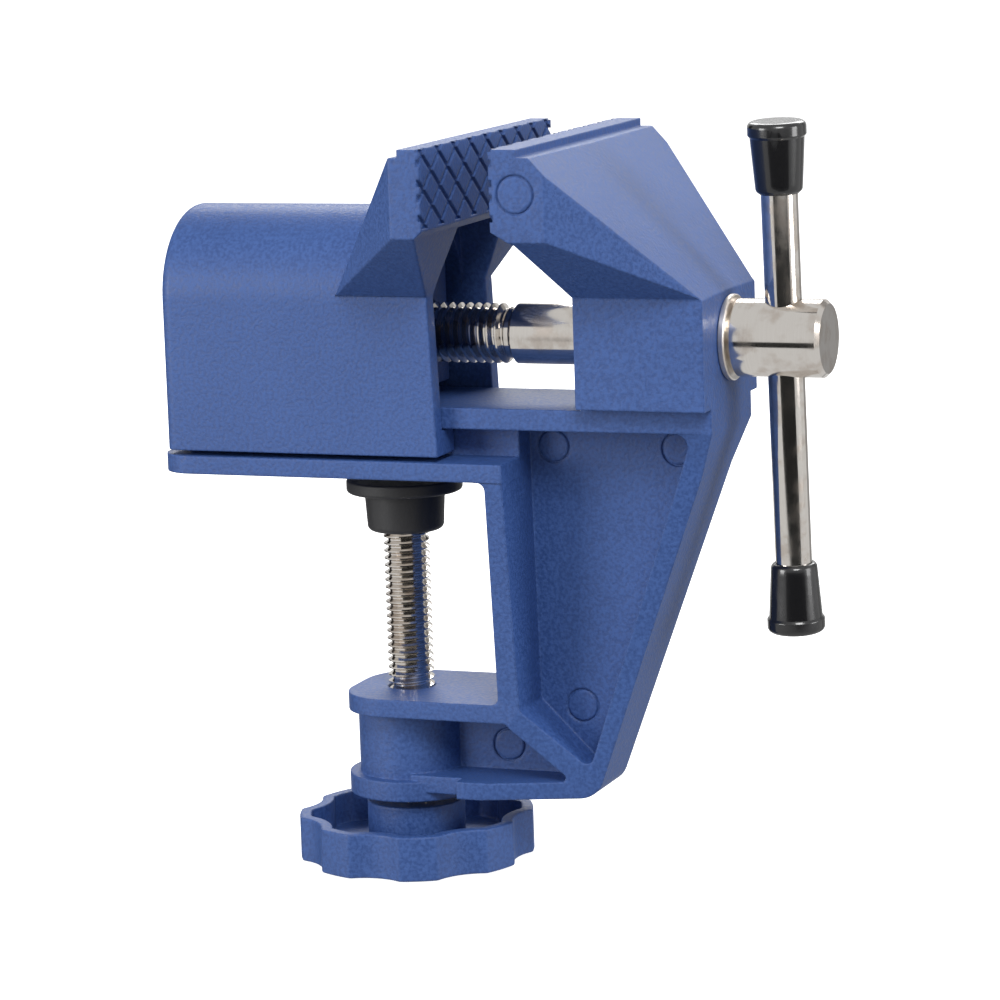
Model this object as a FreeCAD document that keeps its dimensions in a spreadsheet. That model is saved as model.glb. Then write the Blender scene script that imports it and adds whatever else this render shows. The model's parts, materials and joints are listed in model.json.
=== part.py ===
import FreeCAD, Part
import math
import os
import Sketcher

# Table-clamp bench vise, 60 mm jaws.  Millimetres.
# Frame of the model: the origin is where the clamp screw's axis meets the underside of the
# table plate.  +X runs along the lead screw towards its head, +Z is up, and Y = 0 is the
# plane of symmetry.

V = FreeCAD.Vector
NEAR_FAR = (-1, 1)
CLEAR = 100.0                 # reach of a cut that only has to run clear of the solid

DIMS = {
    # jaws
    "jaw_half_width": 30.0, "jaw_top": 55.6, "ledge_top": 54.3, "strip_thick": 3.8,
    "strip_base": 42.6, "sliding_face": 17.0, "fixed_face": 28.67,
    "knurl_pitch": 7.1, "knurl_angle": 38.0, "knurl_width": 0.9, "knurl_depth": 0.5,
    # lead screw and what is on it
    "screw_axis_z": 22.6, "screw_radius": 5.0, "screw_rear": -22.5, "thread_end": 20.2,
    "relief_radius": 4.15, "relief_length": 0.8, "seat_x": 58.0, "washer_thick": 1.1,
    "washer_radius": 7.0, "washer_bore": 5.1, "head_radius": 6.35, "head_end": 74.7,
    "head_chamfer": 0.8, "ring_groove_radius": 4.5, "ring_thick": 1.0, "ring_radius": 6.9,
    # handle bar
    "bar_radius": 3.0, "bar_x": 67.3, "bar_tilt": 3.6, "bar_up": 35.2, "bar_down": 48.8,
    "cap_length": 11.6, "cap_radius": 4.75, "cap_neck": 3.8,
    # fixed jaw block
    "block_left": 36.1, "block_half": 14.0, "block_low": 12.2, "block_high": 30.4,
    "end_face_rear": 37.9, "back_draft": 0.8, "fixed_strip": 4.6, "back_top": 35.9,
    # table plate, rail and clamp frame
    "plate_left": -38.7, "plate_thick": 3.06, "plate_half": 15.3, "plate_corner": 6.0,
    "rail_left": -36.5, "rail_low": 8.2, "rail_high": 11.7, "rail_half": 11.4, "neck_half": 6.5,
    "leg_left": 20.3, "leg_right": 23.4, "leg_half_low": 12.1, "web_half": 1.5,
    "bracket_top": -37.8, "bracket_thick": 3.05, "bracket_left": -9.6, "bracket_corner": 9.0,
    "foot_low": -54.1, "foot_thick": 2.95, "boss_radius": 9.2, "boss_foot_radius": 11.0,
    "boss_low": -55.6, "boss_foot_thick": 3.4,
    "throat_round": 1.4, "mark_radius": 2.9, "mark_width": 0.35, "mark_depth": 0.3,
    # sliding jaw housing
    "house_rear": -37.0, "house_half": 14.8, "house_low": 3.9, "house_wall": 3.05,
    "arch_z": 29.07, "rear_wall": 2.5, "lip_top": 7.95, "slot_half": 6.9, "rear_round": 2.0,
    "nut_front": 3.5, "nut_length": 8.0, "rib_thick": 2.0, "rib_half": 8.0, "rib_low": 13.5,
    # clamp screw, pad and knob
    "clamp_radius": 3.9, "clamp_bore": 3.96, "pad_top": -2.1, "pad_disc": 9.8,
    "pad_disc_thick": 2.2, "pad_hub": 6.4, "pad_low": -10.9, "screw_tip": -5.2,
    "clamp_end": -61.4, "knob_radius": 19.9, "knob_rim": -59.4, "knob_low": -67.0,
    "knob_wall": 2.0, "knob_floor": 2.2, "knob_hub": 8.3, "knob_hub_top": -57.3,
    "knob_recess": 3.4, "scallop_radius": 8.5, "scallop_centre": 26.7, "knob_lobes": 8,
}


def make_sheet(doc):
    """The spreadsheet that holds the driving dimensions, one alias a row."""
    sheet = doc.addObject("Spreadsheet::Sheet", "dims")
    for row, (alias, value) in enumerate(DIMS.items(), start=1):
        sheet.set("A%d" % row, alias)
        sheet.set("B%d" % row, str(value))
        sheet.setAlias("B%d" % row, alias)
    doc.recompute()
    return sheet


DOC = FreeCAD.newDocument("bench_vise")
SHEET = make_sheet(DOC)


def dim(alias):
    """A driving dimension, read back from the sheet."""
    return float(getattr(SHEET, alias))


def bind(obj, **sizes):
    """Bind properties of an object to expressions on the sheet."""
    for name, expression in sizes.items():
        obj.setExpression(name, expression)
    return obj


# ---------------------------------------------------------------- sketches and features

def new_body(name):
    body = DOC.addObject("PartDesign::Body", name)
    return body


def new_sketch(body, name, role, offset=0.0):
    """A sketch on one of the body's origin planes, moved by offset along its normal."""
    sketch = body.newObject("Sketcher::SketchObject", name)
    plane = [f for f in body.Origin.OriginFeatures if f.Role == role][0]
    sketch.AttachmentSupport = (plane, "")
    sketch.MapMode = "FlatFace"
    sketch.AttachmentOffset = FreeCAD.Placement(V(0, 0, offset), FreeCAD.Rotation())
    return sketch


def corner_arc(before, corner, after, radius):
    """The tangent arc that rounds a corner, as (start, middle, end)."""
    into = (before - corner).normalize()
    out = (after - corner).normalize()
    half = into.getAngle(out) / 2.0
    reach = radius / math.tan(half)
    centre = corner + (into + out).normalize() * (radius / math.sin(half))
    middle = centre + (corner - centre).normalize() * radius
    return corner + into * reach, middle, corner + out * reach


def add_outline(sketch, corners):
    """A closed outline of straight runs.  A corner is (x, y) or, rounded, (x, y, radius)."""
    points = [V(c[0], c[1], 0) for c in corners]
    count = len(points)
    stops = []
    for i, corner in enumerate(corners):
        if len(corner) == 3:
            stops.append(corner_arc(points[i - 1], points[i], points[(i + 1) % count], corner[2]))
        else:
            stops.append((points[i],))
    geometry = []
    for i, stop in enumerate(stops):
        if len(stop) == 3:
            geometry.append(Part.Arc(*stop))
        geometry.append(Part.LineSegment(stop[-1], stops[(i + 1) % count][0]))
    sketch.addGeometry(geometry, False)
    return sketch


def add_circle(sketch, radius, x=0.0, y=0.0):
    """A circle whose radius follows an expression."""
    index = sketch.addGeometry(Part.Circle(V(x, y, 0), V(0, 0, 1), 1.0), False)
    key = sketch.addConstraint(Sketcher.Constraint("Radius", index, 1.0))
    sketch.setExpression("Constraints[%d]" % key, radius)
    return sketch


def add_arch(sketch, half, low, spring, radius):
    """A closed outline with vertical sides and a round top."""
    sketch.addGeometry([
        Part.LineSegment(V(-half, low, 0), V(half, low, 0)),
        Part.LineSegment(V(half, low, 0), V(half, spring, 0)),
        Part.Arc(V(half, spring, 0), V(0, spring + radius, 0), V(-half, spring, 0)),
        Part.LineSegment(V(-half, spring, 0), V(-half, low, 0))], False)
    return sketch


def pad(body, sketch, length, symmetric=False, reverse=False):
    feature = body.newObject("PartDesign::Pad", sketch.Name + "_pad")
    feature.Profile = sketch
    feature.SideType = "Symmetric" if symmetric else "One side"
    feature.Reversed = reverse
    bind(feature, Length=length)
    return feature


def pocket(body, sketch, length=None, symmetric=False, reverse=False):
    """A pocket of a bound depth, or right through where no depth is given."""
    feature = body.newObject("PartDesign::Pocket", sketch.Name + "_cut")
    feature.Profile = sketch
    feature.SideType = "Symmetric" if symmetric else "One side"
    feature.Reversed = reverse
    if length is None:
        feature.Type = "ThroughAll"
    else:
        bind(feature, Length=length)
    return feature


def revolve(body, sketch, axis):
    feature = body.newObject("PartDesign::Revolution", sketch.Name + "_turned")
    feature.Profile = sketch
    feature.ReferenceAxis = (sketch, [axis])
    feature.Angle = 360.0
    return feature


def finish(obj, label):
    """Give a sub-part its own label, which names its file."""
    obj.Label = label
    SUBPARTS.append(obj)
    return obj


def cylinder(name, radius, height, base=V(0, 0, 0), direction=V(0, 0, 1)):
    tool = DOC.addObject("Part::Cylinder", name)
    bind(tool, Radius=radius, Height=height)
    tool.Placement = FreeCAD.Placement(base, FreeCAD.Rotation(V(0, 0, 1), direction))
    return tool


def fuse(name, shapes):
    joined = DOC.addObject("Part::MultiFuse", name)
    joined.Shapes = shapes
    joined.Refine = True
    return joined


def cut(name, base, tool):
    result = DOC.addObject("Part::Cut", name)
    result.Base = base
    result.Tool = tool
    return result


SUBPARTS = []
AXIS = V(0, 0, dim("screw_axis_z"))


# ---------------------------------------------------------------- shared jaw details

def knurl(body, face_x, facing_x):
    """Two crossing families of straight grooves that give a jaw face its diamond grip.

    facing_x is +1 for a face that looks towards +X and -1 for one that looks towards -X.
    """
    low = dim("strip_base") + 0.4
    high = dim("jaw_top") + 1.0
    lean = (high - low) / math.tan(math.radians(dim("knurl_angle")))
    half = dim("knurl_width") / 2.0 / math.sin(math.radians(dim("knurl_angle")))
    middle = (dim("jaw_top") + dim("strip_base")) / 2.0
    start = lean * (middle - low) / (high - low)
    count = int((dim("jaw_half_width") + lean) / dim("knurl_pitch")) + 1
    for s in NEAR_FAR:
        family = new_sketch(body, "knurl", "YZ_Plane", face_x)
        for index in range(-count, count + 1):
            y = index * dim("knurl_pitch") - s * start
            add_outline(family, [(y - half, low), (y + half, low), (y + half + s * lean, high),
                                 (y - half + s * lean, high)])
        pocket(body, family, "dims.knurl_depth", reverse=(facing_x < 0))


def jaw_end_outline(sketch, start_z, end_z, inner, low):
    """The metal to take off below the jaw ends, where the head narrows to the body."""
    outer = dim("jaw_half_width") + 1.0
    slope = (end_z - start_z) / (dim("jaw_half_width") - inner)
    top = start_z + slope * (outer - inner)
    for side in NEAR_FAR:
        corners = [(side * inner, low), (side * inner, start_z), (side * outer, top),
                   (side * outer, low)]
        add_outline(sketch, corners)
    return sketch


# ---------------------------------------------------------------- frame casting

def fixed_jaw(body):
    """Jaw head, its sloped back and the block that carries the lead screw."""
    face = dim("fixed_face")
    strip_rear = face + dim("fixed_strip")
    side = new_sketch(body, "jaw_side", "XZ_Plane")
    add_outline(side, [
        (face, dim("strip_base")), (face, dim("jaw_top")), (strip_rear, dim("jaw_top")),
        (strip_rear, dim("ledge_top")), (dim("back_top"), dim("ledge_top")),
        (dim("seat_x"), dim("block_high")), (dim("seat_x"), dim("block_low")),
        (dim("block_left"), dim("block_low")), (dim("block_left"), dim("block_high")),
        (face + 3.6, dim("strip_base") - 2.1)])
    pad(body, side, "2 * dims.jaw_half_width", symmetric=True)
    front = new_sketch(body, "jaw_front", "YZ_Plane")
    jaw_end_outline(front, dim("block_high"), 41.0, dim("block_half"), dim("block_low") - 1.0)
    pocket(body, front, symmetric=True)
    plan = new_sketch(body, "jaw_plan", "XY_Plane")
    for s in NEAR_FAR:
        add_outline(plan, [
            (dim("end_face_rear"), s * dim("jaw_half_width")),
            (dim("seat_x") - 0.4, s * dim("block_half")),
            (dim("seat_x") + 2.0, s * dim("block_half")),
            (dim("seat_x") + 2.0, s * (dim("jaw_half_width") + 2.0)),
            (dim("end_face_rear"), s * (dim("jaw_half_width") + 2.0))])
    pocket(body, plan, symmetric=True)


def rail_and_plate(body):
    """Table plate, the neck above it and the T-rail that the sliding jaw runs on."""
    plate = new_sketch(body, "plate", "XY_Plane")
    half = dim("plate_half")
    round_off = dim("plate_corner")
    trimmed = dim("leg_right") + 0.9          # the side pockets trim what runs past the leg
    add_outline(plate, [
        (dim("plate_left"), -half, round_off), (trimmed, -half),
        (trimmed, half), (dim("plate_left"), half, round_off)])
    pad(body, plate, "dims.plate_thick")
    neck = new_sketch(body, "neck", "XY_Plane", dim("plate_thick") - 0.5)
    add_outline(neck, [
        (dim("rail_left"), -dim("neck_half")), (trimmed, -dim("neck_half")),
        (trimmed, dim("neck_half")), (dim("rail_left"), dim("neck_half"))])
    pad(body, neck, "dims.rail_low - dims.plate_thick + 1")
    rail = new_sketch(body, "rail", "XY_Plane", dim("rail_low"))
    narrow = dim("rail_half") - 0.8
    add_outline(rail, [
        (dim("rail_left"), -dim("rail_half")), (dim("block_left"), -dim("rail_half")),
        (dim("seat_x"), -narrow), (dim("seat_x"), narrow),
        (dim("block_left"), dim("rail_half")), (dim("rail_left"), dim("rail_half"))])
    pad(body, rail, "dims.rail_high - dims.rail_low + 0.6")
    trim = new_sketch(body, "rail_top", "XY_Plane", dim("rail_high"))
    add_outline(trim, [
        (dim("rail_left") - 1.0, -CLEAR / 5.0), (dim("block_left"), -CLEAR / 5.0),
        (dim("block_left"), CLEAR / 5.0), (dim("rail_left") - 1.0, CLEAR / 5.0)])
    pocket(body, trim, "0.7", reverse=True)


def clamp_leg(body):
    """The upright of the clamp, wide at the plate and narrower at the bracket."""
    leg = new_sketch(body, "leg", "YZ_Plane", dim("leg_left"))
    top = dim("plate_half")
    low = dim("leg_half_low")
    foot = dim("bracket_top") - dim("bracket_thick")
    add_outline(leg, [
        (-top, 0.5), (top, 0.5), (low, dim("bracket_top")), (low, foot), (-low, foot),
        (-low, dim("bracket_top"))])
    pad(body, leg, "dims.leg_right - dims.leg_left + 0.9")


def clamp_side(body):
    """The rimmed and webbed side frame, pocketed from both sides."""
    foot_top = dim("foot_low") + dim("foot_thick")
    bracket_low = dim("bracket_top") - dim("bracket_thick")
    rim = new_sketch(body, "rim", "XZ_Plane")
    add_outline(rim, [
        (dim("leg_left"), 0.5), (dim("leg_left"), dim("bracket_top")),
        (12.3, dim("bracket_top")), (12.3, dim("foot_low")), (35.1, dim("foot_low"), 4.0),
        (dim("seat_x"), dim("rail_low")), (dim("leg_right"), dim("rail_low")),
        (dim("leg_right"), 0.5)])
    pad(body, rim, "2 * dims.leg_half_low", symmetric=True)
    web_root = new_sketch(body, "web_root", "XZ_Plane")
    add_outline(web_root, [
        (2.0, bracket_low + 1.0), (13.0, bracket_low + 1.0), (13.0, dim("foot_low")),
        (2.0, dim("foot_low"))])
    pad(body, web_root, "2 * dims.web_half", symmetric=True)
    for s in NEAR_FAR:
        big = new_sketch(body, "big_pocket", "XZ_Plane", -s * dim("web_half"))
        add_outline(big, [
            (dim("leg_right"), dim("rail_low")), (54.4, dim("rail_low"), 2.0),
            (34.3, -48.9, 1.1), (24.0, -38.6, 1.0), (dim("leg_right"), -1.0)])
        pocket(body, big, "dims.plate_half", reverse=(s < 0))
        low = new_sketch(body, "low_pocket", "XZ_Plane", -s * dim("web_half"))
        add_outline(low, [
            (8.0, bracket_low), (21.4, bracket_low, 1.2), (31.4, foot_top, 0.8),
            (8.0, foot_top)])
        pocket(body, low, "dims.plate_half", reverse=(s < 0))


def bracket_and_boss(body):
    """The bracket below the table, its screw boss and the foot disc."""
    bracket_low = dim("bracket_top") - dim("bracket_thick")
    plate = new_sketch(body, "bracket", "XY_Plane", bracket_low)
    half = dim("leg_half_low")
    add_outline(plate, [
        (dim("bracket_left"), -half, dim("bracket_corner")), (dim("leg_left") + 1.0, -half),
        (dim("leg_left") + 1.0, half), (dim("bracket_left"), half, dim("bracket_corner"))])
    pad(body, plate, "dims.bracket_thick")
    boss = new_sketch(body, "boss", "XY_Plane", dim("boss_low"))
    add_circle(boss, "dims.boss_radius")
    pad(body, boss, "dims.bracket_top - dims.boss_low")
    disc = new_sketch(body, "foot_disc", "XY_Plane", dim("boss_low"))
    add_circle(disc, "dims.boss_foot_radius")
    pad(body, disc, "dims.boss_foot_thick")
    toe = new_sketch(body, "foot_toe", "XY_Plane", dim("foot_low"))
    add_outline(toe, [(3.0, -9.4), (13.0, -9.4), (13.0, 9.4), (3.0, 9.4)])
    pad(body, toe, "dims.foot_thick")


def frame_bores(body):
    """The clamp screw's hole and the lead screw's hole."""
    clamp_hole = new_sketch(body, "clamp_hole", "XY_Plane", dim("bracket_top") + 2.0)
    add_circle(clamp_hole, "dims.clamp_bore")
    pocket(body, clamp_hole, "dims.bracket_top - dims.boss_low + 4")
    screw_hole = new_sketch(body, "screw_hole", "YZ_Plane", dim("block_left") - 10.0)
    add_circle(screw_hole, "dims.screw_radius + 0.06", 0.0, dim("screw_axis_z"))
    pocket(body, screw_hole, "dims.seat_x - dims.block_left + 20", reverse=True)


def throat_fillets(body):
    """Round the two inner corners of the clamp's throat."""
    DOC.recompute()
    solid = body.Tip
    corners = [(dim("leg_left"), 0.0), (dim("leg_left"), dim("bracket_top"))]
    edges = []
    for number, edge in enumerate(solid.Shape.Edges, start=1):
        box = edge.BoundBox
        for x, z in corners:
            if (max(abs(box.XMin - x), abs(box.XMax - x), abs(box.ZMin - z),
                    abs(box.ZMax - z)) < 0.01 and box.YLength > 5.0):
                edges.append("Edge%d" % number)
    rounding = body.newObject("PartDesign::Fillet", "throat_rounding")
    rounding.Base = (solid, edges)
    bind(rounding, Radius="dims.throat_round")
    DOC.recompute()


def mould_marks(body):
    """Shallow rings that ejector pins leave in the casting's near side."""
    web_marks = ((27.5, 4.2), (49.2, 4.2), (31.3, -39.5), (18.0, -46.9))
    web = new_sketch(body, "web_marks", "XZ_Plane", dim("web_half"))
    for x, z in web_marks:
        add_circle(web, "dims.mark_radius", x, z)
        add_circle(web, "dims.mark_radius - dims.mark_width", x, z)
    pocket(body, web, "dims.mark_depth")
    jaw = new_sketch(body, "jaw_mark", "XZ_Plane", dim("jaw_half_width"))
    add_circle(jaw, "dims.mark_radius + 0.3", 33.0, 48.5)
    add_circle(jaw, "dims.mark_radius + 0.3 - dims.mark_width", 33.0, 48.5)
    pocket(body, jaw, "dims.mark_depth")


def planing_box(name, on_plane, outward, depth=30.0):
    """A box whose base lies on a plane, to take off what stands beyond it."""
    reach = 3.0 * CLEAR
    box = DOC.addObject("Part::Box", name)
    box.Length = reach
    box.Width = reach
    box.Height = depth
    turn = FreeCAD.Rotation(V(0, 0, 1), outward)
    corner = on_plane - turn.multVec(V(reach / 2.0, reach / 2.0, 0))
    box.Placement = FreeCAD.Placement(corner, turn)
    return box


def side_taper(s):
    """Takes the side frame in from the leg outwards, and flares it again below the rail."""
    along_foot = planing_box("side_taper", V(24.0, s * dim("leg_half_low"), -38.0),
                             V(0.32, s, -0.151).normalize())
    under_rail = planing_box("side_flare",
                             V(dim("seat_x"), s * (dim("rail_half") - 0.8), dim("rail_low")),
                             V(0.0, s, -0.36).normalize())
    below = DOC.addObject("Part::Box", "below_rail")
    bind(below, Length="90", Width="40", Height="dims.rail_low + 80")
    below.Placement.Base = V(-20.0, min(0.0, 40.0 * s), -80.0)
    both = DOC.addObject("Part::MultiCommon", "side_shaving")
    both.Shapes = [along_foot, under_rail, below]
    return both


def back_draft_box(name, s):
    """Takes the draft off one half of the sloped back, from the parting line outwards."""
    top = V(dim("back_top"), 0, dim("ledge_top"))
    low = V(dim("seat_x"), 0, dim("block_high"))
    down = (low - top).normalize()
    normal = down.cross(V(0, 1, 0))
    tilt = FreeCAD.Rotation(down, -s * dim("back_draft"))
    across = tilt.multVec(V(0, s, 0))
    outward = tilt.multVec(normal)
    box = DOC.addObject("Part::Box", name)
    box.Length = 44.0
    box.Width = 33.0
    box.Height = 4.0
    if s > 0:
        turn = FreeCAD.Rotation(down, across, outward, "ZXY")
        corner = top - down * 1.5
    else:
        turn = FreeCAD.Rotation(down, across * -1.0, outward, "ZXY")
        corner = top - down * 1.5 + across * 33.0
    box.Placement = FreeCAD.Placement(corner, turn)
    return box


def make_frame():
    """The one-piece casting: fixed jaw, T-rail, table plate and clamp frame."""
    body = new_body("frame_casting")
    fixed_jaw(body)
    rail_and_plate(body)
    clamp_leg(body)
    clamp_side(body)
    bracket_and_boss(body)
    throat_fillets(body)
    frame_bores(body)
    mould_marks(body)
    knurl(body, dim("fixed_face"), -1)
    tools = []
    for s in NEAR_FAR:
        tools.append(side_taper(s))
        tools.append(back_draft_box("back_draft", s))
    finish(cut("frame", body, fuse("frame_cuts", tools)), "frame")


# ---------------------------------------------------------------- sliding jaw

def make_sliding_jaw():
    """The hollow casting that slides on the rail, with its jaw head and nut ribs."""
    body = new_body("sliding_casting")
    half = dim("house_half")
    face = dim("sliding_face")
    house = new_sketch(body, "house", "YZ_Plane", dim("house_rear"))
    add_arch(house, half, dim("house_low"), dim("arch_z"), half)
    first = pad(body, house, "dims.sliding_face - dims.house_rear")
    DOC.recompute()
    rear = ["Edge%d" % (i + 1) for i, e in enumerate(first.Shape.Edges)
            if e.BoundBox.XMax < dim("house_rear") + 0.01 and e.BoundBox.ZMax > half]
    rounding = body.newObject("PartDesign::Fillet", "rear_rounding")
    rounding.Base = (first, rear)
    bind(rounding, Radius="dims.rear_round")
    DOC.recompute()

    strip_rear = face - dim("strip_thick")
    back_top = strip_rear - 1.5
    shoulder_z = 30.3
    side = new_sketch(body, "head_side", "XZ_Plane")
    add_outline(side, [
        (face, dim("strip_base")), (face, dim("jaw_top")), (strip_rear, dim("jaw_top")),
        (strip_rear, dim("ledge_top")), (back_top, dim("ledge_top")), (-4.9, shoulder_z),
        (11.2, shoulder_z), (face - 1.4, dim("strip_base") - 1.3)])
    pad(body, side, "2 * dims.jaw_half_width", symmetric=True)
    front = new_sketch(body, "head_front", "YZ_Plane")
    jaw_end_outline(front, shoulder_z, 41.4, half, shoulder_z - 2.0)
    pocket(body, front, symmetric=True)
    plan = new_sketch(body, "head_plan", "XY_Plane")
    for s in NEAR_FAR:
        add_outline(plan, [
            (back_top, s * dim("jaw_half_width")), (-4.9, s * half), (-8.0, s * half),
            (-8.0, s * (dim("jaw_half_width") + 2.0)),
            (back_top, s * (dim("jaw_half_width") + 2.0))])
    pocket(body, plan, symmetric=True)
    nose = new_sketch(body, "nose", "XZ_Plane")
    add_outline(nose, [
        (12.2, dim("house_low") - 1.0), (11.2, shoulder_z), (face - 1.4, dim("strip_base") - 1.3),
        (face, dim("strip_base")), (face + 2.0, dim("strip_base")),
        (face + 2.0, dim("house_low") - 1.0)])
    pocket(body, nose, symmetric=True)

    cavity(body)
    nut_ribs(body)
    knurl(body, face, 1)
    finish(body, "sliding_jaw")


def cavity(body):
    """The hollow of the housing and the T-slot under it."""
    inner = dim("house_half") - dim("house_wall")
    hollow_start = dim("house_rear") + dim("rear_wall")
    hollow = new_sketch(body, "hollow", "YZ_Plane", hollow_start)
    add_arch(hollow, inner, dim("lip_top"), dim("arch_z"), inner)
    pocket(body, hollow, "60", reverse=True)
    mouth = new_sketch(body, "mouth", "YZ_Plane", 7.0)
    top = dim("strip_base") - 1.3
    add_outline(mouth, [
        (-inner, 20.0), (inner, 20.0), (inner, 33.0), (inner - 1.0, top), (1.0 - inner, top),
        (-inner, 33.0)])
    pocket(body, mouth, "40", reverse=True)
    slot = new_sketch(body, "slot", "YZ_Plane")
    add_outline(slot, [
        (-dim("slot_half"), 0.0), (dim("slot_half"), 0.0), (dim("slot_half"), dim("lip_top")),
        (inner, dim("lip_top")), (inner, dim("rail_high") + 0.4),
        (-inner, dim("rail_high") + 0.4), (-inner, dim("lip_top")),
        (-dim("slot_half"), dim("lip_top"))])
    pocket(body, slot, symmetric=True)


def nut_ribs(body):
    """Two ribs hanging from the roof; the nut is slid up between them."""
    roof = dim("arch_z") + dim("house_half") - dim("house_wall") + 0.5
    starts = (dim("nut_front") + 0.05, dim("nut_front") - dim("nut_length") - 0.05
              - dim("rib_thick"))
    for name, start in zip(("front_rib", "rear_rib"), starts):
        rib = new_sketch(body, name, "YZ_Plane", start)
        half = dim("rib_half")
        add_outline(rib, [(-half, dim("rib_low")), (half, dim("rib_low")), (half, roof - 3.0),
                          (0.0, roof), (-half, roof - 3.0)])
        add_circle(rib, "dims.screw_radius + 0.6", 0.0, dim("screw_axis_z"))
        pad(body, rib, "dims.rib_thick")


def make_jaw_nut():
    """The square steel nut that the lead screw turns in."""
    body = new_body("jaw_nut_body")
    block = new_sketch(body, "nut_block", "YZ_Plane", dim("nut_front") - dim("nut_length"))
    half = 7.0
    z = dim("screw_axis_z")
    add_outline(block, [(-half, z - half, 1.0), (half, z - half, 1.0), (half, z + half, 1.0),
                        (-half, z + half, 1.0)])
    add_circle(block, "dims.screw_radius + 0.06", 0.0, z)
    pad(body, block, "dims.nut_length")
    finish(body, "jaw_nut")


# ---------------------------------------------------------------- lead screw and its parts

def turned(name, label, profile, along_x=True, placement=None):
    """A round piece: profile is (station, radius) pairs from end to end, on the XZ plane."""
    body = new_body(name)
    sketch = new_sketch(body, name + "_profile", "XZ_Plane")
    if along_x:
        add_outline(sketch, [tuple(p) for p in profile])
        revolve(body, sketch, "H_Axis")
    else:
        add_outline(sketch, [(p[1], p[0]) + tuple(p[2:]) for p in profile])
        revolve(body, sketch, "V_Axis")
    if placement is not None:
        body.Placement = placement
    if label:
        finish(body, label)
    return body


def handle_direction():
    """Unit vector along the handle bar, upwards."""
    tilt = math.radians(dim("bar_tilt"))
    return V(0, -math.sin(tilt), math.cos(tilt))


def make_lead_screw():
    """Threaded spindle, its plain shank and the drilled head."""
    radius = dim("screw_radius")
    head_start = dim("seat_x") + dim("washer_thick") + 0.02
    relief_end = dim("thread_end") + dim("relief_length")
    groove = dim("block_left") - 0.05 - dim("washer_thick")
    chamfer = dim("head_chamfer")
    profile = [
        (dim("screw_rear"), 0.0), (dim("screw_rear"), radius - 1.0),
        (dim("screw_rear") + 1.0, radius), (dim("thread_end"), radius),
        (dim("thread_end"), dim("relief_radius")), (relief_end, dim("relief_radius")),
        (relief_end + 0.3, radius), (groove - dim("ring_thick") - 0.04, radius),
        (groove - dim("ring_thick") - 0.04, dim("ring_groove_radius")),
        (groove, dim("ring_groove_radius")), (groove, radius), (head_start, radius),
        (head_start, dim("head_radius") - 0.3), (head_start + 0.3, dim("head_radius")),
        (dim("head_end") - chamfer, dim("head_radius")),
        (dim("head_end"), dim("head_radius") - chamfer), (dim("head_end"), 0.0)]
    body = turned("lead_screw_body", None, profile, placement=FreeCAD.Placement(AXIS, FreeCAD.Rotation()))
    along = handle_direction()
    hole = cylinder("bar_hole", "dims.bar_radius + 0.06", "20",
                    V(dim("bar_x"), 0, 0) + AXIS - along * 10.0, along)
    finish(cut("lead_screw", body, hole), "lead_screw")


def washer(label, start, thick, outer, inner, axis_z=None):
    """A flat ring across X, with its first face at start."""
    body = new_body(label + "_body")
    ring = new_sketch(body, label + "_ring", "YZ_Plane", start)
    z = dim("screw_axis_z") if axis_z is None else axis_z
    add_circle(ring, outer, 0.0, z)
    add_circle(ring, inner, 0.0, z)
    pad(body, ring, thick)
    finish(body, label)


def make_retaining_ring():
    """The open spring ring that keeps the lead screw in the fixed jaw."""
    body = new_body("retaining_ring_body")
    start = dim("block_left") - 0.05 - dim("washer_thick") - dim("ring_thick") - 0.02
    ring = new_sketch(body, "clip", "YZ_Plane", start)
    z = dim("screw_axis_z")
    add_circle(ring, "dims.ring_radius", 0.0, z)
    add_circle(ring, "dims.ring_groove_radius + 0.03", 0.0, z)
    pad(body, ring, "dims.ring_thick")
    mouth = new_sketch(body, "clip_mouth", "YZ_Plane", start - 1.0)
    add_outline(mouth, [(-3.2, z - 9.0), (3.2, z - 9.0), (3.2, z - 2.0), (-3.2, z - 2.0)])
    pocket(body, mouth, "4", reverse=True)
    finish(body, "retaining_ring")


def make_handle():
    """The sliding bar and the two plastic end caps pressed on it."""
    along = handle_direction()
    centre = V(dim("bar_x"), 0, 0) + AXIS
    seat = 1.6
    bar = cylinder("handle_bar", "dims.bar_radius",
                   "dims.bar_up + dims.bar_down - 2 * %g" % seat,
                   centre - along * (dim("bar_down") - seat), along)
    finish(bar, "handle_bar")
    cap = dim("cap_radius")
    neck = dim("cap_neck")
    bore = dim("bar_radius") + 0.01
    length = dim("cap_length")
    profile = [
        (0.0, bore), (0.0, neck - 0.5), (0.5, neck), (length - 2.6, cap - 0.35),
        (length - 2.2, cap, 0.3), (length, cap, 0.9), (length, 0.0), (length - seat, 0.0),
        (length - seat, bore)]
    upper = FreeCAD.Rotation(V(0, 0, 1), along)
    lower = FreeCAD.Rotation(V(0, 0, 1), along * -1.0)
    turned("upper_cap", "upper_cap", profile, along_x=False,
           placement=FreeCAD.Placement(centre + along * (dim("bar_up") - length), upper))
    turned("lower_cap", "lower_cap", profile, along_x=False,
           placement=FreeCAD.Placement(centre - along * (dim("bar_down") - length), lower))


# ---------------------------------------------------------------- table clamp

def make_clamp_screw():
    radius = dim("clamp_radius")
    tapped = 2.06
    profile = [
        (dim("clamp_end"), tapped), (dim("clamp_end"), radius - 0.5),
        (dim("clamp_end") + 0.5, radius), (dim("screw_tip") - 0.6, radius),
        (dim("screw_tip"), radius - 0.6), (dim("screw_tip"), 0.0),
        (dim("clamp_end") + 7.5, 0.0), (dim("clamp_end") + 7.5, tapped)]
    turned("clamp_screw", "clamp_screw", profile, along_x=False)


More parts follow.
